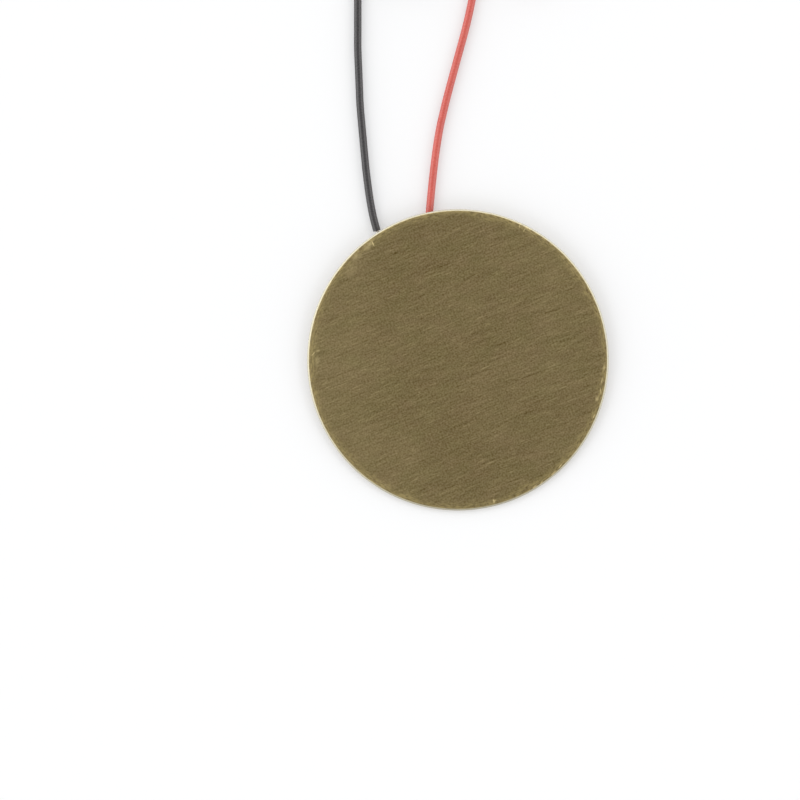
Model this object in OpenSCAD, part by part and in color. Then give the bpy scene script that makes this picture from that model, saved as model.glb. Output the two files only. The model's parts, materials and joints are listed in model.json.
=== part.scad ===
// Piezo disc: a brass plate with a bonded piezo ceramic and two soldered leads.
// It lies brass side up, on the solder under its rim and the far side of the ceramic,
// and the leads run away along +Y to two small coils of spare length.
// All sizes are in millimetres, and the surface is z = 0.

/* [Brass plate] */
// Diameter of the brass plate
brass_d = 20; // [19.5:0.1:20.5]
// Thickness of the brass plate
brass_t = 0.2; // [0.15:0.05:0.3]
// Radius that blanking rolls onto the upper edge
edge_roll = 0.08; // [0.04:0.01:0.1]

/* [Piezo ceramic] */
// Diameter of the ceramic
ceramic_d = 14; // [12:0.5:14]
// Thickness of the bare ceramic
ceramic_t = 0.18; // [0.1:0.02:0.24]
// Bare ceramic left around each silver electrode
electrode_margin = 0.6; // [0.2:0.1:1]
// Thickness of each fired silver electrode
silver_t = 0.01; // [0.01:0.005:0.02]
// Thickness of the glue between plate and ceramic
bond_t = 0.02; // [0.01:0.01:0.04]

/* [Solder joints] */
// Radius of the joint on the brass rim, where it wets the plate
rim_solder_r = 1.1; // [0.8:0.1:1.2]
// Height of the joint on the brass rim
rim_solder_h = 0.8; // [0.8:0.05:1]
// Radius of the joint on the outer electrode, where it wets the silver
electrode_solder_r = 1.2; // [0.9:0.1:1.3]
// Height of the joint on the outer electrode
electrode_solder_h = 0.44; // [0.36:0.02:0.44]

/* [Leads] */
// Diameter over the insulation
lead_d = 0.5; // [0.45:0.01:0.5]
// Diameter of the bare stranded conductor
core_d = 0.24; // [0.2:0.02:0.26]
// Length stripped and tinned at the free end
tip_l = 3; // [2:0.5:4]
// Diameter of the coil at the middle of its turns
coil_d = 5.5; // [5.5:0.1:6]

/* [Coil ties] */
// Width of the band around each coil
tie_w = 0.8; // [0.5:0.1:1.2]
// Thickness of the band
tie_t = 0.08; // [0.05:0.01:0.1]

/* [Hidden] */

$fn = 96;
small_fn = 48;          // facets of the small round pieces
tube_sides = 8;         // sides of a swept lead

brass_color = "#8a7a50";
glue_color = "#b9a878";
ceramic_color = "#cfc3a4";
silver_color = "#c9c7c2";
solder_color = "#b4b6b8";
copper_color = "#c4c2bd";
black_pvc = "#4a4849";
red_pvc = "#cf6a60";
tie_color = "#e6e2d6";

// Centres of the two joints on the underside, in the plane of the plate
rim_joint = [-4.9, 7];
electrode_joint = [-2.2, 4.9];

// Upper faces of the layers below the plate, down from its underside
electrode_d = ceramic_d - 2 * electrode_margin;
inner_z = -bond_t;
ceramic_z = inner_z - silver_t;
outer_z = ceramic_z - ceramic_t;
silver_face_z = outer_z - silver_t;

// The disc leans on the tip of the rim joint and, opposite, on the corner of the
// ceramic or the edge of the plate, whichever comes down first
plate_r = brass_d / 2;
tilt = min(atan((rim_solder_h + outer_z) / (rim_joint[1] + ceramic_d / 2)),
           atan(rim_solder_h / (rim_joint[1] + plate_r)));
lift = rim_solder_h * cos(tilt) - rim_joint[1] * sin(tilt);

// Solder wets out in a thin skirt around a rounded body
wet_skirt = 0.25;
wet_power = 6;
mound_steps = 9;

// Where each conductor ends inside its joint, as a part of the joint's height
core_depth = 0.45;

// Leads lie on the surface, so their middle is one radius up
lead_z = lead_d / 2;
black_route = [
    [-5.35, 8.5], [-5.6, 9.4], [-5.8, 10.4], [-5.95, 11.4], [-6.1, 12.6], [-6.2, 13.6],
    [-6.3, 14.7], [-6.4, 15.8], [-6.5, 17], [-6.55, 18.2], [-6.6, 19.4], [-6.65, 20.7],
    [-6.65, 22.1], [-6.65, 23.5], [-6.65, 24.9], [-6.65, 26.3], [-6.65, 27.6]
];
red_route = [
    [-2.1, 6.8], [-2, 7.8], [-1.95, 8.8], [-1.9, 9.7], [-1.8, 10.8], [-1.7, 11.8],
    [-1.6, 12.7], [-1.45, 13.9], [-1.3, 14.85], [-1.15, 15.65], [-1, 16.3],
    [-0.8, 17.15], [-0.5, 18.3], [-0.2, 19.4], [0.1, 20.5], [0.4, 21.6], [0.7, 22.8],
    [0.95, 24], [1.15, 25.2], [1.3, 26.4], [1.35, 27.6]
];

// Each coil has three turns side by side on the surface and two nested on top.
// The lead enters on the coil's left, at its outermost turn.
coil_r = coil_d / 2;
coil_y = 28.6;
black_coil_at = [black_route[len(black_route) - 1][0] + coil_r + lead_d, coil_y];
red_coil_at = [red_route[len(red_route) - 1][0] + coil_r + lead_d, coil_y];
tie_angle = 150;        // where the band goes round the turns, from +X
tail_angle = 125;       // where the free end leaves the upper turns, from +X
tail_r = coil_r + lead_d / 2;

// Free end: distance from the coil along its heading, and height of its middle
tail_route = [
    [1.5, 0.75], [1.9, 0.7], [2.4, 0.56], [2.9, 0.4], [3.4, 0.29], [4, 0.25], [4.6, 0.25],
    [5.2, 0.25]
];

function unit(v) = v / norm(v);

// A point given in the plane of the plate, as it lies
function lying(p) = [
    p[0],
    p[1] * cos(tilt) - p[2] * sin(tilt),
    lift + p[1] * sin(tilt) + p[2] * cos(tilt)
];

function on_surface(route) = [for (p = route) [p[0], p[1], lead_z]];

// Heading of the free end and its points, in the coil's own place
tail_heading = [sin(tail_angle), -cos(tail_angle), 0];
function tail_point(at, along, z) =
    [at[0] + tail_r * cos(tail_angle), at[1] + tail_r * sin(tail_angle), z]
    + along * tail_heading;
function tail_points(at) = [for (p = tail_route) tail_point(at, p[0], p[1])];

// Half outline of a solder joint, from where it wets to its tip
function mound_outline(r, h) = [
    [0, 0],
    for (i = [0:mound_steps])
        let (a = 90 * i / mound_steps)
        [(r - wet_skirt) * cos(a) + wet_skirt * pow(1 - sin(a), wet_power), h * sin(a)]
];

// Outline of a coil's five turns, grown by g, with the middle turn at x = 0
function coil_section(g) =
    let (
        x = 1.5 * lead_d + g,
        top = lead_d * (1 + sin(60)) + g,
        slant = lead_d * (cos(30) + 0.75) + g,
        shoulder_z = (slant - cos(30) * x) / sin(30),
        top_x = (slant - sin(30) * top) / cos(30)
    )
    [[-x, -g], [x, -g], [x, shoulder_z], [top_x, top], [-top_x, top], [-x, shoulder_z]];

function heading(path, i) =
    unit(path[min(i + 1, len(path) - 1)] - path[max(i - 1, 0)]);

function tube_ring(p, t, r) =
    let (side = unit(cross([0, 0, 1], t)), up = cross(t, side))
    [
        for (k = [0:tube_sides - 1])
            let (a = 360 * (k + 0.5) / tube_sides)
            p + r / cos(180 / tube_sides) * (cos(a) * side + sin(a) * up)
    ];

// One closed tube swept along a path
module tube(path, r) {
    n = tube_sides;
    last = len(path) - 1;
    polyhedron(
        points = [for (i = [0:last]) each tube_ring(path[i], heading(path, i), r)],
        faces = [
            [for (k = [0:n - 1]) k],
            for (i = [0:last - 1], k = [0:n - 1])
                [i * n + k, (i + 1) * n + k, (i + 1) * n + (k + 1) % n, i * n + (k + 1) % n],
            [for (k = [n - 1:-1:0]) last * n + k]
        ]
    );
}

// A round bar from one point to another
module bar(from, to, d) {
    v = to - from;
    translate(from)
        rotate([0, acos(v[2] / norm(v)), atan2(v[1], v[0])])
            cylinder(d = d, h = norm(v), $fn = small_fn);
}

// Moves what is drawn in the plane of the plate to where the plate lies
module as_it_lies() {
    translate([0, 0, lift]) rotate([tilt, 0, 0]) children();
}

module layer(d, top_z, t) {
    as_it_lies() translate([0, 0, top_z - t]) cylinder(d = d, h = t);
}

module mound(at, face_z, r, h) {
    as_it_lies()
        translate([at[0], at[1], face_z])
            mirror([0, 0, 1])
                rotate_extrude($fn = small_fn) polygon(mound_outline(r, h));
}

// Bare strands from the end of the insulation to the face of their solder
module conductor(at, face_z, r, h, route) {
    path = on_surface(route);
    start = path[0];
    along = heading(path, 0);
    color(copper_color)
        difference() {
            bar(start + core_d * along,
                lying([at[0], at[1], face_z - core_depth * h]), core_d);
            mound(at, face_z, r, h);
            translate(start)
                rotate([0, 0, atan2(along[1], along[0])])
                    translate([0, -lead_d, -lead_d]) cube(2 * lead_d);
        }
}

module coil_ring(at) {
    translate([at[0], at[1], 0])
        rotate_extrude() translate([coil_r, 0]) polygon(coil_section(0));
}

module tie(at) {
    translate([at[0], at[1], tie_t])
        intersection() {
            rotate_extrude()
                translate([coil_r, 0])
                    difference() {
                        polygon(coil_section(tie_t));
                        polygon(coil_section(0));
                    }
            rotate([0, 0, tie_angle])
                translate([0, -tie_w / 2, -1]) cube([coil_d, tie_w, 3]);
        }
}

module lead(route, at) {
    difference() {
        tube(on_surface(route), lead_d / 2);
        coil_ring(at);
    }
}

module coil(at) {
    difference() {
        coil_ring(at);
        tie(at);
    }
}

module tail(at) {
    difference() {
        tube(tail_points(at), lead_d / 2);
        coil_ring(at);
    }
}

module tip(at) {
    end = tail_route[len(tail_route) - 1];
    start = tail_point(at, end[0], end[1]);
    color(copper_color) {
        bar(start, start + (tip_l - core_d / 2) * tail_heading, core_d);
        translate(start + (tip_l - core_d / 2) * tail_heading)
            sphere(d = core_d, $fn = small_fn);
    }
}

// The plate, blanked from sheet: sharp below, rolled over above
module brass_disc() {
    color(brass_color)
        as_it_lies()
            rotate_extrude()
                polygon([
                    [0, 0],
                    [plate_r, 0],
                    for (a = [0:22.5:90])
                        [plate_r - edge_roll + edge_roll * cos(a),
                         brass_t - edge_roll + edge_roll * sin(a)],
                    [0, brass_t]
                ]);
}

module bond_film() {
    color(glue_color) layer(ceramic_d, 0, bond_t);
}

module inner_electrode() {
    color(silver_color) layer(electrode_d, inner_z, silver_t);
}

module ceramic_disc() {
    color(ceramic_color) layer(ceramic_d, ceramic_z, ceramic_t);
}

module outer_electrode() {
    color(silver_color) layer(electrode_d, outer_z, silver_t);
}

module rim_solder() {
    color(solder_color) mound(rim_joint, 0, rim_solder_r, rim_solder_h);
}

module electrode_solder() {
    color(solder_color)
        mound(electrode_joint, silver_face_z, electrode_solder_r, electrode_solder_h);
}

module black_conductor() {
    conductor(rim_joint, 0, rim_solder_r, rim_solder_h, black_route);
}

module black_lead() {
    color(black_pvc) lead(black_route, black_coil_at);
}

module black_lead_coil() {
    color(black_pvc) coil(black_coil_at);
}

module black_lead_tail() {
    color(black_pvc) tail(black_coil_at);
}

module black_lead_tip() {
    tip(black_coil_at);
}

module black_coil_tie() {
    color(tie_color) tie(black_coil_at);
}

module red_conductor() {
    conductor(electrode_joint, silver_face_z, electrode_solder_r, electrode_solder_h,
              red_route);
}

module red_lead() {
    color(red_pvc) lead(red_route, red_coil_at);
}

module red_lead_coil() {
    color(red_pvc) coil(red_coil_at);
}

module red_lead_tail() {
    color(red_pvc) tail(red_coil_at);
}

module red_lead_tip() {
    tip(red_coil_at);
}

module red_coil_tie() {
    color(tie_color) tie(red_coil_at);
}

brass_disc();
bond_film();
inner_electrode();
ceramic_disc();
outer_electrode();
rim_solder();
electrode_solder();
black_conductor();
black_lead();
black_lead_coil();
black_lead_tail();
black_lead_tip();
black_coil_tie();
red_conductor();
red_lead();
red_lead_coil();
red_lead_tail();
red_lead_tip();
red_coil_tie();
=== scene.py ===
"""A piezo disc with two soldered leads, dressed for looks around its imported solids.

Lengths are in metres, apart from the leads' routes, the marks on the face and the sizes
of shader grain, which are in millimetres. The disc lies brass side up and leans a
little, so its own pieces are drawn in the frame of its brass face: x and y in the face,
z out of it.
"""

import json
import math

import bmesh
import bpy
from mathutils import Matrix, Vector, noise


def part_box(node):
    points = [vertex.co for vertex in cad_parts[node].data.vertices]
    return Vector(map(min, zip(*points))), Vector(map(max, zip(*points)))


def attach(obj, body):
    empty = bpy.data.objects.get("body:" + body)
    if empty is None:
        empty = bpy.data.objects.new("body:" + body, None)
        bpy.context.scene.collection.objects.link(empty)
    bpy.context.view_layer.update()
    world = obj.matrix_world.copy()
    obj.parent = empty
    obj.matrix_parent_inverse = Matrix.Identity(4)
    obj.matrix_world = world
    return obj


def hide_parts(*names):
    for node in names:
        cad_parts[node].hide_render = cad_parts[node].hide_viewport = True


MM = 0.001

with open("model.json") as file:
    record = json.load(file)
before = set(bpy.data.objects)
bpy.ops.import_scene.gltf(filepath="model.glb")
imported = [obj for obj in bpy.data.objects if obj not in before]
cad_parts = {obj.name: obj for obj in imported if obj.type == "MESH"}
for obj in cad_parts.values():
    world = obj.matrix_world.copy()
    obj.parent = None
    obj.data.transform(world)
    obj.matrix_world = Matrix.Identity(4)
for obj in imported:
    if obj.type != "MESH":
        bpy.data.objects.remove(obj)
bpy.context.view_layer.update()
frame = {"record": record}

# -------------------------------- driving sizes

PLATE_R = 10.0 * MM
PLATE_T = 0.20 * MM
ROLL_W = 0.13 * MM              # width of the rolled edge, seen from above
ROLL_STEEP = 42                 # degrees that it slopes where it meets the side
CORNER_W = 0.01 * MM            # its lower corner, hardly eased
CORNER_H = 0.008 * MM
BEVEL_W = 0.006 * MM            # narrow bevel between its roll and its side
BEVEL_H = 0.008 * MM
BOND_T = 0.02 * MM              # glue between the plate and the inner silver
BEAD_W = 0.16 * MM              # glue pressed out past the ceramic,
BEAD_H = 0.12 * MM              # and how much of the ceramic's side it covers
SILVER_T = 0.01 * MM
CERAMIC_R = 7.0 * MM
CERAMIC_T = 0.18 * MM
ELECTRODE_R = 6.4 * MM
RIM_SOLDER_R = 1.1 * MM
RIM_SOLDER_H = 0.80 * MM
ELECTRODE_SOLDER_R = 1.2 * MM
ELECTRODE_SOLDER_H = 0.44 * MM
SOLDER_SKIRT = 0.25 * MM        # width of the thin foot round a joint

LEAD_D = 0.50 * MM
CORE_D = 0.24 * MM              # across the seven strands
CORE_GAP = 0.01 * MM            # between them and the insulation
SOCKET_DEPTH = 0.20 * MM        # of the insulation's open ends
STRAND_D = 0.08 * MM
STRAND_DEPTH = 0.45             # part of a joint's height at which the strands end in it
STRIPPED = 0.09 * MM            # how far the insulation has drawn back at the disc
TIP_L = 3.0 * MM
TIP_INSIDE = 0.15 * MM          # where the tip starts within the insulation
TIP_ROUND = 0.08 * MM           # length over which tin rounds off the tip
COIL_R = 2.75 * MM              # radius of the middle turn
LEAD_SIDES = 24
TIE_W = 0.80 * MM
TIE_T = 0.08 * MM
TIE_GAP = 0.002 * MM            # air on both sides of each lap of the paper band

# Routes of the leads on the surface in millimetres, from the insulation's end at the disc
BLACK_ROUTE = [
    (-5.35, 8.5), (-5.6, 9.4), (-5.8, 10.4), (-5.95, 11.4), (-6.1, 12.6), (-6.2, 13.6),
    (-6.3, 14.7), (-6.4, 15.8), (-6.5, 17), (-6.55, 18.2), (-6.6, 19.4), (-6.65, 20.7),
    (-6.65, 22.1), (-6.65, 23.5), (-6.65, 24.9), (-6.65, 26.3), (-6.65, 27.6),
]
RED_ROUTE = [
    (-2.1, 6.8), (-2, 7.8), (-1.95, 8.8), (-1.9, 9.7), (-1.8, 10.8), (-1.7, 11.8),
    (-1.6, 12.7), (-1.45, 13.9), (-1.3, 14.85), (-1.15, 15.65), (-1, 16.3),
    (-0.8, 17.15), (-0.5, 18.3), (-0.2, 19.4), (0.1, 20.5), (0.4, 21.6), (0.7, 22.8),
    (0.95, 24), (1.15, 25.2), (1.3, 26.4), (1.35, 27.6),
]
# The free end in millimetres: distance from the coil along its heading, and height
TAIL_ROUTE = [
    (1.5, 0.75), (1.9, 0.7), (2.4, 0.56), (2.9, 0.4), (3.4, 0.29), (4, 0.25),
    (4.6, 0.25), (5.2, 0.25),
]
RUN_IN = 1                      # millimetres from a route's end on to where its coil starts
PATH_STEP = 0.12 * MM           # between places of the drawn leads

# The coil, in degrees. Its travel counts from where the lead meets it
COIL_TRAVEL = 1495              # all that is wound
COIL_STEP = 13
STEPS_IN = ((290, 355), (650, 715))         # travel over which the lead steps in by a turn,
ROLLS = ((930, 1000), (1290, 1350))         # rolls into the next hollow of the turns below,
CROSSINGS = ((1010, 1075), (1370, 1435))    # and rides over where one of those steps in
HOLLOW = 60                     # steepness from a turn to the one in the hollow above it
TIE_ANGLE = 150                 # where the band sits on the coil
TIE_RAMP = 12                   # either side of it, over which the turns rise on to it
TAIL_ANGLE = 125                # where the free end leaves the coil

# -------------------------------- places

# The disc leans about x, so x lies in its face
brass_face = next(m for m in frame["record"]["mounts"] if m["name"] == "brass_face")
face_up = Vector(brass_face["axis"]).normalized()
face_x = Vector((1, 0, 0))
face_y = face_up.cross(face_x)
FACE = Matrix((face_x, face_y, face_up)).transposed().to_4x4()
FACE.translation = Vector(brass_face["pos_m"])

UNDERSIDE = -PLATE_T
CERAMIC_TOP = UNDERSIDE - BOND_T - SILVER_T
CERAMIC_BOTTOM = CERAMIC_TOP - CERAMIC_T
SILVER_BOTTOM = CERAMIC_BOTTOM - SILVER_T


def middle(node):
    """Middle of a node's box."""
    low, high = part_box(node)
    return (low + high) / 2


def on_face(point):
    """A point of the part's frame, in the frame of the brass face."""
    return FACE.inverted() @ point


rim_joint = on_face(middle("rim_solder"))
electrode_joint = on_face(middle("electrode_solder"))

# -------------------------------- view, light and table sizes

VIEW_WIDTH = 53.06 * MM         # what the view spans at the height of the face
CAMERA_AT = Vector((-3.845 * MM, -2.655 * MM))      # in x and y
CAMERA_RISE = 350 * MM          # above the face
SENSOR = 36.0                   # width of the camera's sensor, in the unit of its lens
WALL_LIGHT = 1.58               # brightness of the tent's walls
TOP_LIGHT = 0.364               # brightness of its top
WALL_FULL = 0.70                # sine of the height up to which the walls are full
WALL_TOP = 0.875                # sine of the height where the dim top starts
RIGHT_GAIN = -0.12              # part by which the walls brighten towards the right,
BACK_GAIN = 0.34                # and towards the far side, past the leads
SIDE_GAIN = 0.22                # part that both side walls gain, and near and far ones lose
TABLE_COLOR = (0.575, 0.578, 0.5825)
TABLE_LIFT = 0.355              # light added to what is seen of the table, up to white
TABLE_REACH = 1.6               # radius in metres
TABLE_SIDES = 96

# -------------------------------- paths


def smooth_step(x, low, high):
    """0 before low, 1 after high, and an even ease between."""
    t = min(1, max(0, (x - low) / (high - low)))
    return t * t * (3 - 2 * t)


def hump(x, low, high):
    """0 outside low and high, and 1 half way between."""
    if not low < x < high:
        return 0
    return math.sin(math.pi * (x - low) / (high - low)) ** 2


def coil_place(at, travel):
    """Middle of the lead after travel degrees in the coil round at.

    Three turns lie side by side, from the outer one in. The lead then rolls up over
    the middle turn, and winds two more turns in the hollows on top, from the inner
    one out.
    """
    inward = sum(smooth_step(travel, *span) for span in STEPS_IN)
    rolled = sum(smooth_step(travel, *span) for span in ROLLS)
    if travel < ROLLS[0][0]:
        radius, z = COIL_R + LEAD_D * (1 - inward), LEAD_D / 2
    else:
        roll = math.radians(180 - HOLLOW * rolled)
        radius = COIL_R + LEAD_D * math.cos(roll)
        z = LEAD_D / 2 + LEAD_D * math.sin(roll)
    step_over = LEAD_D * (1 - math.sin(math.radians(HOLLOW)))
    z += step_over * sum(hump(travel, *span) for span in CROSSINGS)
    angle = 180 - travel
    off_tie = (angle - TIE_ANGLE + 180) % 360 - 180
    z += TIE_T * math.exp(-((off_tie / TIE_RAMP) ** 2))
    a = math.radians(angle)
    return Vector((at.x + radius * math.cos(a), at.y + radius * math.sin(a), z))


def coil_middle(route):
    """Middle of the coil whose left side a route runs into."""
    x, y = route[-1]
    return Vector((x * MM + COIL_R + LEAD_D, (y + RUN_IN) * MM, 0))


def tail_place(at, along, z):
    """Middle of the free end, along the straight line on which it leaves the coil."""
    a = math.radians(TAIL_ANGLE)
    radius = COIL_R + LEAD_D / 2
    start = Vector((at.x + radius * math.cos(a), at.y + radius * math.sin(a), z))
    return start + along * Vector((math.sin(a), -math.cos(a), 0))


def spline(points, step):
    """A smooth line through points, as places about one step apart.

    Its knots lie as far apart as the root of each stretch, so that it never loops.
    """
    ends = [2 * points[0] - points[1], *points, 2 * points[-1] - points[-2]]
    line = [points[0].copy()]
    for before, a, b, after in zip(ends, ends[1:], ends[2:], ends[3:]):
        t0 = 0
        t1 = t0 + (a - before).length ** 0.5
        t2 = t1 + (b - a).length ** 0.5
        t3 = t2 + (after - b).length ** 0.5
        count = max(1, round((b - a).length / step))
        for i in range(1, count + 1):
            t = t1 + (t2 - t1) * i / count
            a1 = before * ((t1 - t) / (t1 - t0)) + a * ((t - t0) / (t1 - t0))
            a2 = a * ((t2 - t) / (t2 - t1)) + b * ((t - t1) / (t2 - t1))
            a3 = b * ((t3 - t) / (t3 - t2)) + after * ((t - t2) / (t3 - t2))
            b1 = a1 * ((t2 - t) / (t2 - t0)) + a2 * ((t - t0) / (t2 - t0))
            b2 = a2 * ((t3 - t) / (t3 - t1)) + a3 * ((t - t1) / (t3 - t1))
            line.append(b1 * ((t2 - t) / (t2 - t1)) + b2 * ((t - t1) / (t2 - t1)))
    return line


def lead_path(route):
    """The whole lead: along the surface, round the coil and out to its bare tip."""
    at = coil_middle(route)
    run = [Vector((x * MM, y * MM, LEAD_D / 2)) for x, y in route]
    run[0] += STRIPPED * (run[1] - run[0]).normalized()
    turns = [coil_place(at, travel) for travel in range(0, COIL_TRAVEL + 1, COIL_STEP)]
    tail = [tail_place(at, along * MM, z * MM) for along, z in TAIL_ROUTE]
    return spline(run + turns + tail, PATH_STEP)


# -------------------------------- meshes


def new_piece(name, body, material, nodes, crisp=None):
    """A smooth piece that rides with the part and stands for nodes of its solids.

    body is its vertices and faces. Edges steeper than crisp degrees stay sharp.
    """
    verts, faces = body
    mesh = bpy.data.meshes.new(name)
    mesh.from_pydata([tuple(v) for v in verts], [], faces)
    mesh.update()
    mesh.polygons.foreach_set("use_smooth", [True] * len(mesh.polygons))
    mesh.materials.append(material)
    piece = bpy.data.objects.new(name, mesh)
    bpy.context.scene.collection.objects.link(piece)
    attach(piece, "root")
    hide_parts(*nodes)
    if crisp:
        sharpen(mesh, crisp)
    return piece


def sharpen(mesh, degrees):
    """Keeps edges steeper than this crisp."""
    work = bmesh.new()
    work.from_mesh(mesh)
    for edge in work.edges:
        if len(edge.link_faces) == 2:
            edge.smooth = edge.calc_face_angle() < math.radians(degrees)
    work.to_mesh(mesh)
    work.free()


def lathe(profile, segments, place, shape=None):
    """Vertices and faces of a closed round body. The profile runs up, axis to axis.

    place carries the body's own frame to the part's frame, and shape may move a point
    of that own frame.
    """
    verts, faces, rows = [], [], []
    for r, z in profile:
        if r == 0:
            rows.append([len(verts)])
            verts.append(Vector((0, 0, z)))
            continue
        rows.append(list(range(len(verts), len(verts) + segments)))
        for k in range(segments):
            a = 2 * math.pi * k / segments
            verts.append(Vector((r * math.cos(a), r * math.sin(a), z)))
    for low, high in zip(rows, rows[1:]):
        for k in range(segments):
            n = (k + 1) % segments
            if len(low) == 1:
                faces.append((low[0], high[n], high[k]))
            elif len(high) == 1:
                faces.append((low[k], low[n], high[0]))
            else:
                faces.append((low[k], low[n], high[n], high[k]))
    if shape:
        verts = [shape(v) for v in verts]
    return [place @ v for v in verts], faces


def lump(x, y, z, size):
    """Smooth noise from -1 to 1, in lumps of about this size."""
    return noise.noise(Vector((x, y, z)) / size)


def widened(v, times):
    """A point of a round body, moved out from its axis."""
    return Vector((v.x * times, v.y * times, v.z))


def ring_frames(path):
    """Sideways and upward directions of a sweep at each place of a path."""
    frames = []
    up = Vector((0, 0, 1))
    for i in range(len(path)):
        ahead = path[min(i + 1, len(path) - 1)] - path[max(i - 1, 0)]
        ahead.normalize()
        side = ahead.cross(up).normalized()
        frames.append((side, side.cross(ahead).normalized()))
    return frames


def sweep(path, radius_at, sides, inset=None):
    """Vertices and faces of a closed tube along a path.

    radius_at takes the place's number and the angle round the tube. inset, a radius
    and a depth, sinks a round socket into both ends.
    """
    frames = ring_frames(path)
    verts, faces = [], []

    def add_ring(i, shift, fixed=None):
        """One ring round place i. A fixed radius stands in for radius_at."""
        side, up = frames[i]
        start = len(verts)
        for k in range(sides):
            a = 2 * math.pi * k / sides
            r = radius_at(i, a) if fixed is None else fixed
            verts.append(path[i] + shift + r * (math.cos(a) * side + math.sin(a) * up))
        return list(range(start, start + sides))

    rings = []
    last = len(path) - 1
    if inset:
        r, depth = inset
        into = (path[1] - path[0]).normalized() * depth
        rings.append(add_ring(0, into, r))
        rings.append(add_ring(0, Vector(), r))
    rings += [add_ring(i, Vector()) for i in range(len(path))]
    if inset:
        back = (path[last - 1] - path[last]).normalized() * depth
        rings.append(add_ring(last, Vector(), r))
        rings.append(add_ring(last, back, r))
    for low, high in zip(rings, rings[1:]):
        for k in range(sides):
            n = (k + 1) % sides
            faces.append((low[k], high[k], high[n], low[n]))
    faces.append(tuple(rings[0]))
    faces.append(tuple(reversed(rings[-1])))
    return verts, faces


def join_parts(parts):
    """One list of vertices and faces out of several."""
    verts, faces = [], []
    for part_verts, part_faces in parts:
        start = len(verts)
        verts += part_verts
        faces += [tuple(start + i for i in face) for face in part_faces]
    return verts, faces


# -------------------------------- shader helpers


def add_node(tree, kind, **settings):
    """A node whose properties and inputs are set by name, with _ for a space."""
    made = tree.nodes.new(kind)
    for key, value in settings.items():
        if hasattr(made, key):
            setattr(made, key, value)
        else:
            made.inputs[key.replace("_", " ")].default_value = value
    return made


def feed(tree, socket, value):
    """Gives a socket a plain value, or links it where the value is itself a socket."""
    if isinstance(value, bpy.types.NodeSocket):
        tree.links.new(value, socket)
    else:
        socket.default_value = value


def math_node(tree, operation, a, b, clamp=False):
    """Result of a calculation with two values, each a number or a socket."""
    made = add_node(tree, "ShaderNodeMath", operation=operation, use_clamp=clamp)
    feed(tree, made.inputs[0], a)
    feed(tree, made.inputs[1], b)
    return made.outputs["Value"]


def vector_node(tree, operation, a, b=None, **settings):
    """Result of a calculation with vectors. A length or a dot product is a plain value."""
    made = add_node(tree, "ShaderNodeVectorMath", operation=operation, **settings)
    feed(tree, made.inputs[0], a)
    if b is not None:
        feed(tree, made.inputs[1], b)
    return made.outputs["Value" if operation in ("LENGTH", "DOT_PRODUCT") else "Vector"]


def mix_colors(tree, factor, a, b):
    """Colour that goes from a, where factor is 0, to b, where it is 1."""
    made = add_node(tree, "ShaderNodeMix", data_type="RGBA")
    for name, value in (("Factor_Float", factor), ("A_Color", a), ("B_Color", b)):
        socket = next(s for s in made.inputs if s.identifier == name)
        feed(tree, socket, (*value, 1) if isinstance(value, tuple) else value)
    return next(s for s in made.outputs if s.identifier == "Result_Color")


def ease(tree, value, low, high):
    """0 where value is at low, 1 at high, and a smooth step between. low may be the larger."""
    made = add_node(tree, "ShaderNodeMapRange", clamp=True, interpolation_type="SMOOTHSTEP",
                    From_Min=low, From_Max=high)
    tree.links.new(value, made.inputs["Value"])
    return made.outputs["Result"]


def ranged(tree, value, low, high):
    """value, from 0 to 1, spread from low to high."""
    return math_node(tree, "ADD", math_node(tree, "MULTIPLY", value, high - low), low)


def sway(tree, value, weight):
    """value, from 0 to 1, as a change up or down by as much as half of weight."""
    return math_node(tree, "MULTIPLY", math_node(tree, "SUBTRACT", value, 0.5), weight)


def weighed(tree, a, a_weight, b, b_weight):
    """Sum of two values, each times its weight."""
    return math_node(tree, "ADD", math_node(tree, "MULTIPLY", a, a_weight),
                     math_node(tree, "MULTIPLY", b, b_weight))


def object_place(tree):
    """Where the surface is in the part's frame, in metres."""
    return add_node(tree, "ShaderNodeTexCoord").outputs["Object"]


def new_group(name, inputs, outputs):
    """An empty shader group. inputs gives each socket's name, kind and default."""
    tree = bpy.data.node_groups.new(name, "ShaderNodeTree")
    for label, kind, default in inputs:
        socket = tree.interface.new_socket(label, in_out="INPUT", socket_type=kind)
        socket.default_value = default
    for label, kind in outputs:
        tree.interface.new_socket(label, in_out="OUTPUT", socket_type=kind)
    return tree, tree.nodes.new("NodeGroupInput"), tree.nodes.new("NodeGroupOutput")


def place_group(tree, group, **values):
    """A shader group placed in a material, with its inputs' values or links."""
    made = tree.nodes.new("ShaderNodeGroup")
    made.node_tree = group
    for name, value in values.items():
        feed(tree, made.inputs[name], value)
    return made


FLOAT, VECTOR = "NodeSocketFloat", "NodeSocketVector"
SCUFF_FIRMNESS = 1.6            # above 1, a mark is full over its middle and steeper outside


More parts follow.
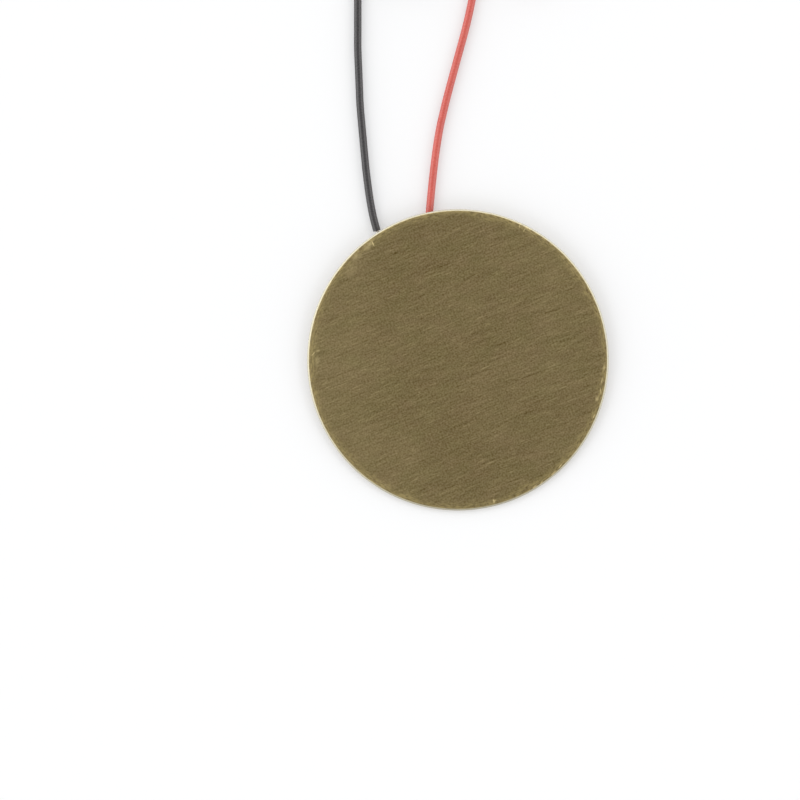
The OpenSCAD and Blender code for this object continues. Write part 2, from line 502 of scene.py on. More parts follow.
def build_grain():
    """Even or stretched noise. Width and Length of its grains are in millimetres."""
    tree, source, out = new_group(
        "grain",
        [("Turn", FLOAT, 0.0), ("Width", FLOAT, 0.1), ("Length", FLOAT, 0.1),
         ("Detail", FLOAT, 3.0), ("Contrast", FLOAT, 1.0)],
        [("Value", FLOAT)],
    )
    link = tree.links.new
    turn = add_node(tree, "ShaderNodeVectorRotate", rotation_type="Z_AXIS")
    link(object_place(tree), turn.inputs["Vector"])
    link(source.outputs["Turn"], turn.inputs["Angle"])
    size = add_node(tree, "ShaderNodeCombineXYZ")
    for axis, side in (("X", "Length"), ("Y", "Width"), ("Z", "Width")):
        link(math_node(tree, "DIVIDE", 1 / MM, source.outputs[side]), size.inputs[axis])
    scaled = vector_node(tree, "MULTIPLY", turn.outputs["Vector"], size.outputs["Vector"])
    grains = add_node(tree, "ShaderNodeTexNoise", Scale=1.0)
    link(scaled, grains.inputs["Vector"])
    link(source.outputs["Detail"], grains.inputs["Detail"])
    strong = sway(tree, grains.outputs["Fac"], source.outputs["Contrast"])
    link(math_node(tree, "ADD", strong, 0.5, clamp=True), out.inputs["Value"])
    return tree


def build_scuff():
    """A rubbed mark round a place, of a length and a width, made ragged by Wear."""
    tree, source, out = new_group(
        "scuff",
        [("Place", VECTOR, (0, 0, 0)), ("Turn", VECTOR, (0, 0, 0)),
         ("Size", VECTOR, (1, 1, 1)), ("Wear", FLOAT, 0.5), ("Raggedness", FLOAT, 0.5)],
        [("Mask", FLOAT)],
    )
    link = tree.links.new
    into = add_node(tree, "ShaderNodeMapping", vector_type="TEXTURE")
    link(object_place(tree), into.inputs["Vector"])
    for name, socket in (("Place", "Location"), ("Turn", "Rotation"), ("Size", "Scale")):
        link(source.outputs[name], into.inputs[socket])
    off = vector_node(tree, "LENGTH", into.outputs["Vector"])
    fade = math_node(tree, "SUBTRACT", 1.0, off, clamp=True)
    firm = math_node(tree, "MULTIPLY", fade, SCUFF_FIRMNESS)
    worn = math_node(tree, "MULTIPLY", source.outputs["Wear"], source.outputs["Raggedness"])
    link(math_node(tree, "SUBTRACT", firm, worn, clamp=True), out.inputs["Mask"])
    return tree


GRAIN = build_grain()
SCUFF = build_scuff()


def place_grain(tree, width, length=None, turn=0.0, detail=0.0, contrast=1.0):
    """The shared grain in a material, as long as it is wide if no length is given."""
    placed = place_group(tree, GRAIN, Width=width, Length=length or width, Turn=turn,
                         Detail=detail, Contrast=contrast)
    return placed.outputs["Value"]


def new_material(name, color, roughness, metallic=0.0):
    """A material, its tree and its shader. What isn't linked later keeps these values."""
    material = bpy.data.materials.new(name)
    material.use_nodes = True
    tree = material.node_tree
    shader = tree.nodes["Principled BSDF"]
    shader.inputs["Base Color"].default_value = (*color, 1)
    shader.inputs["Roughness"].default_value = roughness
    shader.inputs["Metallic"].default_value = metallic
    return material, tree, shader


def paint(tree, shader, tone, dark, pale):
    """Base colour that goes with tone from dark to pale."""
    tree.links.new(mix_colors(tree, tone, dark, pale), shader.inputs["Base Color"])


def roughen(tree, shader, value, low, high):
    """Roughness that goes with a value from low to high."""
    tree.links.new(ranged(tree, value, low, high), shader.inputs["Roughness"])


def add_bump(tree, shader, height, distance):
    """Relief as deep as distance where height goes from 0 to 1."""
    bump = add_node(tree, "ShaderNodeBump", Strength=1.0, Distance=distance)
    tree.links.new(height, bump.inputs["Height"])
    tree.links.new(bump.outputs["Normal"], shader.inputs["Normal"])


# -------------------------------- brass

BRUSH_TURN = math.radians(-21.5)
GRIT_W = 0.12 * MM              # width of the pits between the brush lines
RIM_ARC = 0.35 * MM             # length and width of the fine marks along the edge
RIM_LINE = 0.07 * MM
SHEAR_TOP = 0.075 * MM          # depths below the face between which the cut edge
SHEAR_FULL = 0.10 * MM          # turns into the darker, sheared side
BRASS_COLOR = (0.340, 0.260, 0.121)
BRASS_DARK = (0.175, 0.119, 0.033)
BRASS_LIGHT = (0.505, 0.401, 0.209)
BRASS_OLIVE = (0.98, 1.008, 0.97)       # the tarnish tints the metal from this
BRASS_BROWN = (1.02, 0.993, 1.03)       # to this
BRASS_RUBBED = (0.540, 0.430, 0.190)
# pale brass of scratches, also the colour of the painted glints and the painted sheen
BRASS_SCRATCH_AND_SHEEN = (0.90, 0.742, 0.385)
# bare brass of the rolled edge, paled towards cream as a painted highlight
BRASS_CUT_AND_HIGHLIGHT = (0.500, 0.475, 0.378)
BRASS_SHEARED = (0.46, 0.36, 0.18)
BRASS_GLOSS = (0.80, 0.66, 0.42, 1)     # tint of what it mirrors at a low angle

# Marks and painted sheen on the brass face: place, turn in degrees, length, width, raggedness and
# weight.
# Places and sizes are in millimetres
BRASS_MARKS_AND_SHEEN = [
    # painted sheen: broad, faint pale areas towards the edge, standing in for an uneven reflection
    ((-8.6, 0.0), 90, 17, 10, 0.0, 0.055),
    ((-6.0, -6.5), -45, 13, 9, 0.0, 0.045),
    ((6.2, 6.4), -45, 12, 8, 0.0, 0.030),
    # by the black lead
    ((-5.64, 7.72), -66, 0.55, 0.11, 0.1, 0.95),
    ((-5.95, 7.55), 50, 1.6, 0.60, 0.9, 0.46),
    ((-6.75, 6.85), 50, 1.5, 0.80, 0.9, 0.36),
    ((-7.1, 5.9), 60, 2.4, 1.4, 0.9, 0.18),
    # left edge
    ((-9.60, 0.40), 46, 0.56, 0.09, 0.1, 0.75),
    ((-9.30, 0.60), 6, 0.44, 0.08, 0.1, 0.65),
    ((-9.35, -0.10), 84, 1.3, 0.55, 0.8, 0.30),
    # upper right
    ((4.08, 8.85), 78, 0.46, 0.11, 0.3, 0.65),
    ((4.40, 8.62), 62, 0.50, 0.10, 0.3, 0.65),
    ((4.55, 8.70), -34, 1.6, 0.36, 0.9, 0.42),
    ((6.15, 5.25), 35, 1.5, 0.8, 0.9, 0.10),
    # right edge
    ((9.70, -0.50), 84, 0.90, 0.34, 0.7, 0.50),
    ((9.55, -1.35), 76, 0.54, 0.11, 0.3, 0.70),
    ((9.46, -2.06), 98, 0.60, 0.10, 0.2, 0.75),
    ((9.22, -2.60), 66, 0.70, 0.36, 0.8, 0.50),
    ((9.02, -3.75), 64, 0.46, 0.11, 0.2, 0.75),
    # lower right and near edge
    ((6.80, -7.02), 52, 0.55, 0.11, 0.3, 0.80),
    ((6.35, -7.50), 47, 0.66, 0.12, 0.3, 0.70),
    ((5.55, -8.12), 58, 0.50, 0.11, 0.3, 0.65),
    ((5.10, -8.40), 40, 0.55, 0.11, 0.3, 0.65),
    ((2.38, -9.36), -72, 0.40, 0.09, 0.1, 0.85),
    ((2.42, -9.38), 48, 0.34, 0.09, 0.1, 0.80),
]


def brass_grit(tree):
    """Crisp pits, as fine as the brush lines are wide."""
    turned = add_node(tree, "ShaderNodeVectorRotate", rotation_type="Z_AXIS", Angle=BRUSH_TURN)
    tree.links.new(object_place(tree), turned.inputs["Vector"])
    grit = add_node(tree, "ShaderNodeTexNoise", noise_dimensions="2D", Scale=1 / GRIT_W,
                    Detail=0.0)
    tree.links.new(turned.outputs["Vector"], grit.inputs["Vector"])
    return grit.outputs["Fac"]


def brushed_tone(tree, scratches, grit):
    """How pale the brushed face is, from 0 to 1.

    Scratches come in bursts, among grit, crossing scratches, streaks and clouds. Long
    lines are cubed, so that only the strongest ones show.
    """
    bursts = place_grain(tree, width=0.5, length=1.0, turn=BRUSH_TURN, detail=1.0, contrast=3.0)
    tone = math_node(tree, "ADD", sway(tree, scratches, ranged(tree, bursts, 0.05, 0.51)), 0.5)
    lines = place_grain(tree, width=0.080, length=2.0, turn=0.93 * BRUSH_TURN)
    lines = math_node(tree, "SUBTRACT", lines, 0.49)
    cubed = math_node(tree, "MULTIPLY", lines, math_node(tree, "MULTIPLY", lines, lines))
    tone = math_node(tree, "ADD", tone, math_node(tree, "MULTIPLY", cubed, 5.0))
    crossing = place_grain(tree, width=0.09, length=0.6, turn=1.5 * BRUSH_TURN)
    streaks = place_grain(tree, width=0.32, length=4.5, turn=BRUSH_TURN)
    clouds = place_grain(tree, width=3.0, length=4.0, turn=BRUSH_TURN, detail=1.0)
    for part, weight in ((crossing, 0.17), (streaks, 0.05), (clouds, 0.18), (grit, 0.63)):
        tone = math_node(tree, "ADD", sway(tree, part, weight), tone)
    return math_node(tree, "ADD", tone, 0.0, clamp=True)


def tarnished(tree, color):
    """The metal's colour, tinted from olive to brown in small clouds."""
    tarnish = place_grain(tree, width=1.0, length=1.5, detail=1.0, contrast=2.2)
    return vector_node(tree, "MULTIPLY", color,
                       mix_colors(tree, tarnish, BRASS_OLIVE, BRASS_BROWN))


def with_glints(tree, color):
    """Painted glints: single bright grains in the colour, where a brush line would catch the light:
    the noise's peaks.
    """
    glints = place_grain(tree, width=0.065, length=0.60, turn=1.1 * BRUSH_TURN)
    glints = math_node(tree, "MULTIPLY", ease(tree, glints, 0.66, 0.84), 0.24)
    return mix_colors(tree, glints, color, BRASS_SCRATCH_AND_SHEEN)


def rim_arcs(tree, flat, reach):
    """Fine marks drawn out along the rim, from 0 to 1."""
    along = vector_node(tree, "SCALE", vector_node(tree, "NORMALIZE", flat),
                        Scale=PLATE_R / RIM_ARC)
    inwards = add_node(tree, "ShaderNodeCombineXYZ")
    tree.links.new(math_node(tree, "MULTIPLY", reach, PLATE_R / RIM_LINE), inwards.inputs["Z"])
    arcs = add_node(tree, "ShaderNodeTexNoise", Scale=1.0, Detail=2.0)
    tree.links.new(vector_node(tree, "ADD", along, inwards.outputs["Vector"]),
                   arcs.inputs["Vector"])
    return ease(tree, arcs.outputs["Fac"], 0.36, 0.66)


def rubbed_rim(tree, color, flat, reach, speckle):
    """The face rubbed bright towards its rim, in short arcs and with a ragged edge."""
    patches = place_grain(tree, width=1.3, detail=1.0, contrast=2.2)
    ragged = weighed(tree, speckle, 0.018, patches, 0.030)
    near_rim = ease(tree, math_node(tree, "ADD", reach, ragged), 0.950, 1.012)
    rubbed = math_node(tree, "MULTIPLY", near_rim,
                       ranged(tree, rim_arcs(tree, flat, reach), -0.05, 1.35))
    return mix_colors(tree, rubbed, color, BRASS_RUBBED)


def rolled_rim(tree, color, reach):
    """The rolled edge, bare where the die cut it and paled there as a painted highlight, and the
    sheared side below it.
    """
    rolled = ease(tree, reach, 1 - 1.1 * ROLL_W / PLATE_R, 1 - 0.6 * ROLL_W / PLATE_R)
    height = vector_node(tree, "DOT_PRODUCT", object_place(tree), face_up)
    face_height = FACE.translation.dot(face_up)
    side = ease(tree, height, face_height - SHEAR_TOP, face_height - SHEAR_FULL)
    return mix_colors(tree, rolled, color, mix_colors(tree, side, BRASS_CUT_AND_HIGHLIGHT, BRASS_SHEARED))


def face_marks_and_sheen(tree, speckle):
    """How strongly the face is marked, or lightened by painted sheen. Where two marks overlap, the
    stronger one counts.
    """
    marks = 0.0
    for (x, y), turn, length, width, raggedness, weight in BRASS_MARKS_AND_SHEEN:
        mark = place_group(tree, SCUFF, Place=(x * MM, y * MM, 0),
                           Turn=(0, 0, math.radians(turn)),
                           Size=(length / 2 * MM, width / 2 * MM, 1),
                           Wear=speckle, Raggedness=raggedness).outputs["Mask"]
        marks = math_node(tree, "MAXIMUM", marks, math_node(tree, "MULTIPLY", mark, weight))
    return marks


def brass_material():
    """Brushed sheet, dulled by handling, bare and yellow where the edge was rolled. Painted glints,
    painted sheen and a painted highlight on the rolled edge are in its colour.
    """
    material, tree, shader = new_material("brushed_brass", BRASS_COLOR, roughness=0.40, metallic=1.0)
    scratches = place_grain(tree, width=0.10, length=1.5, turn=BRUSH_TURN, detail=1.0)
    grit = brass_grit(tree)
    tone = brushed_tone(tree, scratches, grit)
    color = tarnished(tree, mix_colors(tree, tone, BRASS_DARK, BRASS_LIGHT))
    color = with_glints(tree, color)
    # flat is the place seen from above, in plate radii, and reach its distance out
    flat = vector_node(tree, "MULTIPLY", object_place(tree), (1 / PLATE_R, 1 / PLATE_R, 0))
    reach = vector_node(tree, "LENGTH", flat)
    speckle = place_grain(tree, width=0.24, detail=2.0, contrast=2.6)
    color = rubbed_rim(tree, color, flat, reach, speckle)
    color = rolled_rim(tree, color, reach)
    # the marks hold the painted sheen too, which also goes into the roughness
    marks = face_marks_and_sheen(tree, speckle)
    color = mix_colors(tree, marks, color, BRASS_SCRATCH_AND_SHEEN)
    tree.links.new(color, shader.inputs["Base Color"])
    shader.inputs["Specular Tint"].default_value = BRASS_GLOSS
    rough = math_node(tree, "ADD", ranged(tree, scratches, low=0.34, high=0.46),
                      math_node(tree, "MULTIPLY", marks, 0.12))
    tree.links.new(rough, shader.inputs["Roughness"])
    add_bump(tree, shader, weighed(tree, scratches, 0.7, grit, 0.3), 0.003 * MM)
    return material


# -------------------------------- other materials

INSULATION_ROUGHNESS = 0.27


def silver_material():
    """Fired silver paste: matt and faintly mottled, with the fine grit of a print."""
    material, tree, shader = new_material("fired_silver", (0.74, 0.73, 0.70),
                                          roughness=0.55, metallic=0.9)
    blotch = place_grain(tree, width=0.9, length=1.3, detail=4.0, contrast=1.6)
    grit = place_grain(tree, width=0.04, detail=2.0, contrast=1.5)
    paint(tree, shader, blotch, dark=(0.60, 0.58, 0.53), pale=(0.80, 0.79, 0.76))
    roughen(tree, shader, grit, low=0.45, high=0.65)
    add_bump(tree, shader, grit, 0.0025 * MM)
    return material


def ceramic_material():
    """Unglazed piezo ceramic: pale tan, fine grained."""
    material, tree, shader = new_material("piezo_ceramic", (0.60, 0.53, 0.39), roughness=0.75)
    blotch = place_grain(tree, width=0.7, detail=4.0, contrast=1.5)
    grit = place_grain(tree, width=0.03, detail=2.0, contrast=1.6)
    paint(tree, shader, blotch, dark=(0.54, 0.47, 0.34), pale=(0.66, 0.59, 0.45))
    roughen(tree, shader, grit, low=0.65, high=0.85)
    add_bump(tree, shader, grit, 0.004 * MM)
    return material


def glue_material():
    """Cured amber epoxy."""
    material, tree, shader = new_material("cured_glue", (0.45, 0.31, 0.12), roughness=0.2)
    shader.inputs["Specular IOR Level"].default_value = 0.55
    ripple = place_grain(tree, width=0.5, detail=2.0, contrast=1.3)
    paint(tree, shader, ripple, dark=(0.38, 0.25, 0.09), pale=(0.52, 0.38, 0.17))
    roughen(tree, shader, ripple, low=0.14, high=0.3)
    add_bump(tree, shader, ripple, 0.01 * MM)
    return material


def solder_material():
    """Tin solder: bright where it froze smooth, duller in patches."""
    material, tree, shader = new_material("solder", (0.70, 0.70, 0.71), roughness=0.3, metallic=1.0)
    patch = place_grain(tree, width=0.35, detail=4.0, contrast=1.8)
    frost = place_grain(tree, width=0.03, detail=3.0, contrast=1.4)
    paint(tree, shader, patch, dark=(0.38, 0.38, 0.39), pale=(0.60, 0.60, 0.60))
    roughen(tree, shader, patch, low=0.22, high=0.46)
    add_bump(tree, shader, weighed(tree, patch, 0.85, frost, 0.15), 0.010 * MM)
    return material


def tinned_material():
    """Tinned copper strands."""
    material, tree, shader = new_material("tinned_copper", (0.74, 0.71, 0.66),
                                          roughness=0.26, metallic=1.0)
    patch = place_grain(tree, width=0.12, detail=3.0, contrast=1.8)
    paint(tree, shader, patch, dark=(0.66, 0.59, 0.50), pale=(0.80, 0.79, 0.77))
    roughen(tree, shader, patch, low=0.2, high=0.42)
    add_bump(tree, shader, patch, 0.003 * MM)
    return material


def insulation_material(name, dark, pale):
    """Soft plastic insulation with a faint orange-peel skin, less glossy at its flanks."""
    material, tree, shader = new_material(name, pale, INSULATION_ROUGHNESS)
    facing = add_node(tree, "ShaderNodeLayerWeight", Blend=0.5).outputs["Facing"]
    gloss = ranged(tree, ease(tree, facing, low=0.3, high=0.8), low=0.68, high=0.12)
    tree.links.new(gloss, shader.inputs["Specular IOR Level"])
    skin = place_grain(tree, width=0.11, detail=1.0, contrast=1.3)
    tone = place_grain(tree, width=1.1, detail=3.0, contrast=1.5)
    paint(tree, shader, tone, dark, pale)
    roughen(tree, shader, skin,
            low=INSULATION_ROUGHNESS - 0.04, high=INSULATION_ROUGHNESS + 0.06)
    add_bump(tree, shader, skin, 0.0012 * MM)
    return material


def paper_material():
    """Paper band with its fibres."""
    material, tree, shader = new_material("paper_band", (0.80, 0.77, 0.70), roughness=0.85)
    fibre = place_grain(tree, width=0.025, length=0.16, turn=0.6, detail=3.0, contrast=1.8)
    paint(tree, shader, fibre, dark=(0.70, 0.67, 0.60), pale=(0.86, 0.84, 0.79))
    roughen(tree, shader, fibre, low=0.78, high=0.92)
    add_bump(tree, shader, fibre, 0.008 * MM)
    return material


BRASS = brass_material()
SILVER = silver_material()
CERAMIC = ceramic_material()
GLUE = glue_material()
SOLDER = solder_material()
TINNED = tinned_material()
BLACK = insulation_material("black_insulation", dark=(0.035, 0.033, 0.034),
                            pale=(0.046, 0.043, 0.044))
RED = insulation_material("red_insulation", dark=(0.55, 0.094, 0.072), pale=(0.62, 0.115, 0.090))
PAPER = paper_material()

# -------------------------------- camera, light and table


def make_camera():
    """The camera, straight above the face, and off its middle as the framing needs."""
    data = bpy.data.cameras.new("camera")
    data.sensor_width = SENSOR
    data.lens = SENSOR * CAMERA_RISE / VIEW_WIDTH
    data.clip_start = 0.01
    camera = bpy.data.objects.new("camera", data)
    face_height = FACE.translation.z
    camera.location = (CAMERA_AT.x, CAMERA_AT.y, face_height + CAMERA_RISE)
    bpy.context.scene.collection.objects.link(camera)
    bpy.context.scene.camera = camera


def make_light():
    """A light tent: pale walls all round, a dimmer top, and no hard lamp.

    The left wall is the brightest and the near one the dimmest. A camera sees it white.
    """
    world = bpy.data.worlds.new("light_tent")
    world.use_nodes = True
    tree = world.node_tree
    sky = tree.nodes["Background"]
    heading = add_node(tree, "ShaderNodeTexCoord").outputs["Generated"]
    parts = add_node(tree, "ShaderNodeSeparateXYZ")
    tree.links.new(heading, parts.inputs["Vector"])
    x, y = parts.outputs["X"], parts.outputs["Y"]
    wall = add_node(tree, "ShaderNodeMapRange", clamp=True, interpolation_type="SMOOTHSTEP",
                    From_Min=WALL_TOP, From_Max=WALL_FULL, To_Min=TOP_LIGHT, To_Max=WALL_LIGHT)
    tree.links.new(parts.outputs["Z"], wall.inputs["Value"])
    gain = 1.0
    for part, weight in ((x, RIGHT_GAIN), (y, BACK_GAIN),
                         (math_node(tree, "MULTIPLY", x, x), SIDE_GAIN),
                         (math_node(tree, "MULTIPLY", y, y), -SIDE_GAIN)):
        gain = math_node(tree, "ADD", math_node(tree, "MULTIPLY", part, weight), gain)
    light = math_node(tree, "MULTIPLY", wall.outputs["Result"], gain)
    rays = add_node(tree, "ShaderNodeLightPath")
    lift = math_node(tree, "MULTIPLY", rays.outputs["Is Camera Ray"],
                     math_node(tree, "SUBTRACT", 1.0, light))
    tree.links.new(math_node(tree, "ADD", light, lift), sky.inputs["Strength"])
    sky.inputs["Color"].default_value = (1, 1, 1, 1)
    bpy.context.scene.world = world


def table_material():
    """Pale table. What cameras and mirrors see of it is lifted to white."""
    material, tree, shader = new_material("pale_table", TABLE_COLOR, roughness=0.9)
    shader.inputs["Specular IOR Level"].default_value = 0.1
    shader.inputs["Emission Color"].default_value = (1, 1, 1, 1)
    rays = add_node(tree, "ShaderNodeLightPath")
    seen = rays.outputs["Is Camera Ray"]
    for ray in ("Is Glossy Ray", "Is Transmission Ray"):
        seen = math_node(tree, "MAXIMUM", seen, rays.outputs[ray])
    tree.links.new(math_node(tree, "MULTIPLY", seen, TABLE_LIFT),
                   shader.inputs["Emission Strength"])
    return material


def make_table():
    """A round pale table, so wide that every low view ends on it."""
    turns = [2 * math.pi * k / TABLE_SIDES for k in range(TABLE_SIDES)]
    edge = [(TABLE_REACH * math.cos(a), TABLE_REACH * math.sin(a), 0) for a in turns]
    mesh = bpy.data.meshes.new("table")
    mesh.from_pydata(edge, [], [tuple(range(TABLE_SIDES))])
    mesh.materials.append(table_material())
    table = bpy.data.objects.new("table", mesh)
    bpy.context.scene.collection.objects.link(table)


make_camera()
make_light()
make_table()

# -------------------------------- leads


def make_lead(color, route, material):
    """Insulation of one lead with its tip and its tie."""
    path = lead_path(route)
    body = sweep(path, lambda i, a: LEAD_D / 2, LEAD_SIDES,
                 inset=(CORE_D / 2 + CORE_GAP, SOCKET_DEPTH))
    nodes = [color + end for end in ("_lead", "_lead_coil", "_lead_tail")]
    lead = new_piece(color + "_insulation", body, material,
                     nodes=nodes, crisp=50)
    tip = make_tip(color, path)
    tie = make_tie(color, coil_middle(route))
    return path


def make_tip(color, path):
    """Stripped end: strands twisted and tinned into one, six of them showing."""
    start = path[-1]
    ahead = (path[-1] - path[-2]).normalized()
    steps, twists = 60, 2.2
    valley_depth = 0.09         # part of the radius, between two strands
    blunt = 0.12                # square of the part of the radius left at the very end
    places = [start + ahead * (TIP_L * (i / steps) - TIP_INSIDE) for i in range(steps + 1)]

    def radius_at(i, a):
        """Radius of the tinned strands, less towards the end that the tin rounds off."""
        twist = 2 * math.pi * (i / steps) * twists
        ridge = 0.5 + 0.5 * math.cos(6 * (a + twist))
        left = (steps - i) / steps * TIP_L
        round_off = math.sqrt(max(blunt, 1 - max(0, 1 - left / TIP_ROUND) ** 2))
        return CORE_D / 2 * (1 - valley_depth * (1 - ridge)) * round_off

    return new_piece(color + "_tip", sweep(places, radius_at, sides=36), TINNED,
                     nodes=[color + "_lead_tip"])


def tie_outline():
    """The band's course across the coil: x and z of its middle, way out, and lift.

    It starts on top, runs round the bundle once, and laps over its own start. Each of
    its bends goes round a turn of the lead, from a first angle to a last one.
    """
    low = LEAD_D / 2
    top = low + LEAD_D * math.sin(math.radians(HOLLOW))
    bends = (((-LEAD_D / 2, top), 90, 150), ((-LEAD_D, low), 150, 270),
             ((LEAD_D, low), -90, 30), ((LEAD_D / 2, top), 30, 90))
    steps = 8
    round_turns = []
    for (x, z), first, last in bends:
        for i in range(steps + 1):
            a = math.radians(first + (last - first) * i / steps)
            round_turns.append((x, z, math.cos(a), math.sin(a), 0.0))
    start = (-0.10 * LEAD_D, top, 0.0, 1.0, 0.0)
    climb = [(0.20 * LEAD_D, top, 0.0, 1.0, 0.0), (-0.12 * LEAD_D, top, 0.0, 1.0, TIE_T)]
    lap = [(*point[:4], TIE_T) for point in round_turns[:5]]
    return [start] + round_turns + climb + lap


def make_tie(color, at):
    """A paper band round the coil, its end lapped over on top.

    Its points are numbered by layer, row across the band and place along it.
    """
    outline = tie_outline()
    across, count = 9, len(outline)
    verts, faces = [], []

    def add_quad(*corners):
        """A face whose corners are given as layer, row and place."""
        faces.append(tuple((layer * across + s) * count + k for layer, s, k in corners))

    for layer in (0, 1):
        for s in range(across):
            a = math.radians(TIE_ANGLE) + (s / (across - 1) - 0.5) * TIE_W / COIL_R
            for x, z, out, up, lift in outline:
                r = LEAD_D / 2 + TIE_GAP + lift + layer * (TIE_T - 2 * TIE_GAP)
                radial = COIL_R + x + r * out
                verts.append(Vector((at.x + radial * math.cos(a),
                                     at.y + radial * math.sin(a), z + r * up + TIE_T)))
    side, end = across - 1, count - 1
    for s in range(side):
        for k in range(end):
            add_quad((0, s, k), (0, s, k + 1), (0, s + 1, k + 1), (0, s + 1, k))
            add_quad((1, s, k), (1, s + 1, k), (1, s + 1, k + 1), (1, s, k + 1))
    for k in range(end):
        add_quad((0, 0, k), (1, 0, k), (1, 0, k + 1), (0, 0, k + 1))
        add_quad((0, side, k + 1), (1, side, k + 1), (1, side, k), (0, side, k))
    for s in range(side):
        add_quad((0, s, 0), (0, s + 1, 0), (1, s + 1, 0), (1, s, 0))
        add_quad((0, s, end), (1, s, end), (1, s + 1, end), (0, s + 1, end))
    return new_piece(color + "_tie", (verts, faces), PAPER,
                     nodes=[color + "_coil_tie"], crisp=40)


def make_strands(color, path, joint, depth):
    """Bare strands, six twisted round a seventh, from the insulation into the solder."""
    inside = 0.18 * MM          # length within the insulation
    rise = 0.03 * MM            # of the strands' middle, above a straight line
    twists = 1.1
    edge = path[0]
    start = edge + (path[1] - edge).normalized() * inside
    end = FACE @ Vector((joint.x, joint.y, depth))
    halfway = edge.lerp(end, 0.5) + Vector((0, 0, rise))
    centre = spline([start, edge, halfway, end], step=0.03 * MM)
    steps = len(centre) - 1
    frames = ring_frames(centre)
    parts = []
    for strand in range(7):
        line = []
        for i, place in enumerate(centre):
            side, up = frames[i]
            a = 2 * math.pi * (strand / 6 + twists * i / steps)
            out = 0 if strand == 6 else STRAND_D
            line.append(place + out * (math.cos(a) * side + math.sin(a) * up))
        parts.append(sweep(line, lambda i, a: STRAND_D / 2, sides=10))
    new_piece(color + "_strands", join_parts(parts), TINNED,
              nodes=[color + "_conductor"])


black_path = make_lead("black", BLACK_ROUTE, BLACK)
red_path = make_lead("red", RED_ROUTE, RED)
make_strands("black", black_path, rim_joint, UNDERSIDE - STRAND_DEPTH * RIM_SOLDER_H)
make_strands("red", red_path, electrode_joint,
             SILVER_BOTTOM - STRAND_DEPTH * ELECTRODE_SOLDER_H)

# -------------------------------- disc


def rolled_edge():
    """Points of the plate's rolled upper edge, from its side up and inwards."""
    steps = 12
    bend = 0.35                 # the smaller, the sooner the roll steepens
    line, r, z = [], PLATE_R - ROLL_W, 0.0
    for i in range(steps):
        slope = math.radians(ROLL_STEEP) * ((i + 0.5) / steps) ** bend
        line.append((r, z))
        r += ROLL_W / steps
        z -= ROLL_W / steps * math.tan(slope)
    line += [(r - BEVEL_W, z), (r, z - BEVEL_H)]
    return line[::-1]


def blanked(v):
    """Small unevenness of the blanked edge: slow waves and fine nicks, all inwards."""
    if math.hypot(v.x, v.y) < PLATE_R - 1.2 * ROLL_W:
        return v
    wave = 0.010 * MM * max(0, lump(v.x, v.y, 0, size=0.9 * MM))
    nick = 0.006 * MM * max(0, lump(v.x, v.y, v.z * 3, size=0.25 * MM))
    return widened(v, 1 - (wave + nick) / PLATE_R)


def make_plate():
    """The brass plate: rolled over above, with a crisp corner below."""
    rings = 24
    inner = [PLATE_R * k / rings for k in range(1, rings)]
    profile = [(0.0, UNDERSIDE)] + [(r, UNDERSIDE) for r in inner]
    profile += [(PLATE_R - 0.06 * MM, UNDERSIDE), (PLATE_R - CORNER_W, UNDERSIDE),
                (PLATE_R, UNDERSIDE + CORNER_H)]
    profile += rolled_edge()
    profile += [(r, 0.0) for r in reversed(inner)] + [(0.0, 0.0)]
    body = lathe(profile, segments=720, place=FACE, shape=blanked)
    new_piece("brass_plate", body, BRASS, nodes=["brass_disc"], crisp=40)


def round_edged(radius, top, bottom, edge):
    """Profile of a thin disc whose corners are eased, from the bottom up."""
    half = [(0.0, 0.0), (radius * 0.5, 0.0), (radius - 3 * edge, 0.0), (radius - edge, 0.0),
            (radius - 0.3 * edge, 0.3 * edge), (radius, edge)]
    return [(r, bottom + z) for r, z in half] + [(r, top - z) for r, z in reversed(half)]


def make_ceramic():
    """The ceramic disc, its corners slightly eased."""
    profile = round_edged(CERAMIC_R, CERAMIC_TOP, CERAMIC_BOTTOM, edge=0.02 * MM)
    new_piece("ceramic", lathe(profile, segments=360, place=FACE), CERAMIC,
              nodes=["ceramic_disc"], crisp=30)


def printed(v):
    """The slightly wavy outline of a print."""
    r = math.hypot(v.x, v.y)
    if r < ELECTRODE_R * 0.9:
        return v
    return widened(v, 1 + lump(v.x, v.y, 0, size=0.6 * MM) * 0.02 * MM / r)


def make_electrodes():
    """Printed silver on both faces of the ceramic."""
    for name, top in (("inner", UNDERSIDE - BOND_T), ("outer", CERAMIC_BOTTOM)):
        profile = round_edged(ELECTRODE_R, top, top - SILVER_T, edge=0.003 * MM)
        body = lathe(profile, segments=360, place=FACE, shape=printed)
        new_piece(name + "_silver", body, SILVER,
                  nodes=[name + "_electrode"], crisp=30)


def pressed_out(v):
    """The glue's bead, wider in some places than in others."""
    r = math.hypot(v.x, v.y)
    if r < CERAMIC_R + 0.01 * MM:
        return v
    swell = 1 + 0.5 * lump(v.x, v.y, 0, size=1.4 * MM)
    return widened(v, (CERAMIC_R + (r - CERAMIC_R) * swell) / r)


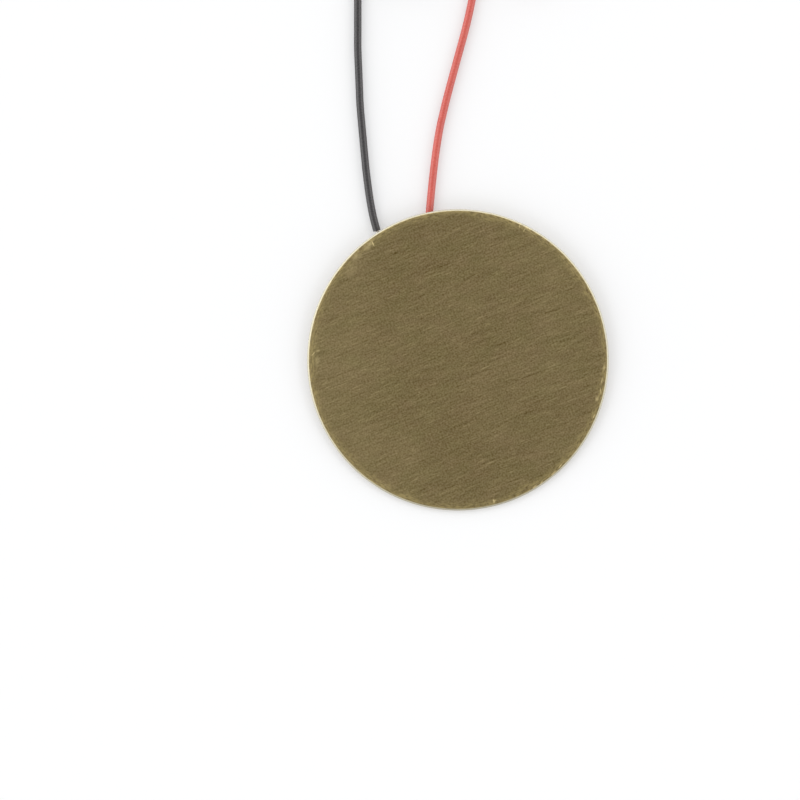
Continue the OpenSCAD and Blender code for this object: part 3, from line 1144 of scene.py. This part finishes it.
def make_glue():
    """The glue film, with the hollow bead that was pressed out round the ceramic."""
    low = UNDERSIDE - BOND_T
    foot = CERAMIC_R - 0.05 * MM
    clear = 0.001 * MM          # of the ceramic's side
    steps = 8
    profile = [(0.0, low), (CERAMIC_R * 0.6, low), (foot, low)]
    for i in range(steps + 1):
        a = math.pi / 2 * i / steps
        profile.append((CERAMIC_R + BEAD_W * (1 - math.cos(a)) + clear,
                        UNDERSIDE - BEAD_H * (1 - math.sin(a))))
    profile += [(foot, UNDERSIDE), (0.0, UNDERSIDE)]
    body = lathe(profile, segments=360, place=FACE, shape=pressed_out)
    new_piece("glue", body, GLUE, nodes=["bond_film"], crisp=40)


def make_joint(name, node, joint, face_z, radius, height, toward):
    """A solder joint: a frozen drop, wetted out at its foot and drawn along the lead."""
    rings = 26
    drawn = 0.16                # part by which it is drawn out towards the lead
    uneven = 0.05               # part by which its surface swells and sinks
    lump_size = 0.5 * MM
    profile = [(0.0, -height)]
    for i in range(1, rings + 1):
        a = math.pi / 2 * (1 - i / rings)
        foot = SOLDER_SKIRT * (1 - math.sin(a)) ** 6
        profile.append(((radius - SOLDER_SKIRT) * math.cos(a) + foot, -height * math.sin(a)))
    profile.append((0.0, 0.0))
    aim = Vector((toward.x - joint.x, toward.y - joint.y, 0)).normalized()

    def frozen(v):
        """Drawn out half way up on the lead's side, and lumpy above its foot."""
        r = math.hypot(v.x, v.y)
        if r == 0:
            return v
        facing = max(0, (v.x * aim.x + v.y * aim.y) / r)
        up = -v.z / height
        pull = 1 + drawn * facing ** 3 * (1 - up) * up * 4
        swell = 1 + uneven * noise.noise(v / lump_size + joint)
        return widened(v, pull * (swell if up > 0.02 else 1))

    place = FACE @ Matrix.Translation((joint.x, joint.y, face_z))
    body = lathe(profile, segments=96, place=place, shape=frozen)
    new_piece(name, body, SOLDER, nodes=[node], crisp=60)


make_plate()
make_glue()
make_electrodes()
make_ceramic()
make_joint("rim_joint", "rim_solder", rim_joint, UNDERSIDE, RIM_SOLDER_R, RIM_SOLDER_H,
           on_face(black_path[0]))
make_joint("electrode_joint", "electrode_solder", electrode_joint, SILVER_BOTTOM,
           ELECTRODE_SOLDER_R, ELECTRODE_SOLDER_H, on_face(red_path[0]))

# -------------------------------- view transform

bpy.context.scene.view_settings.view_transform = "Standard"
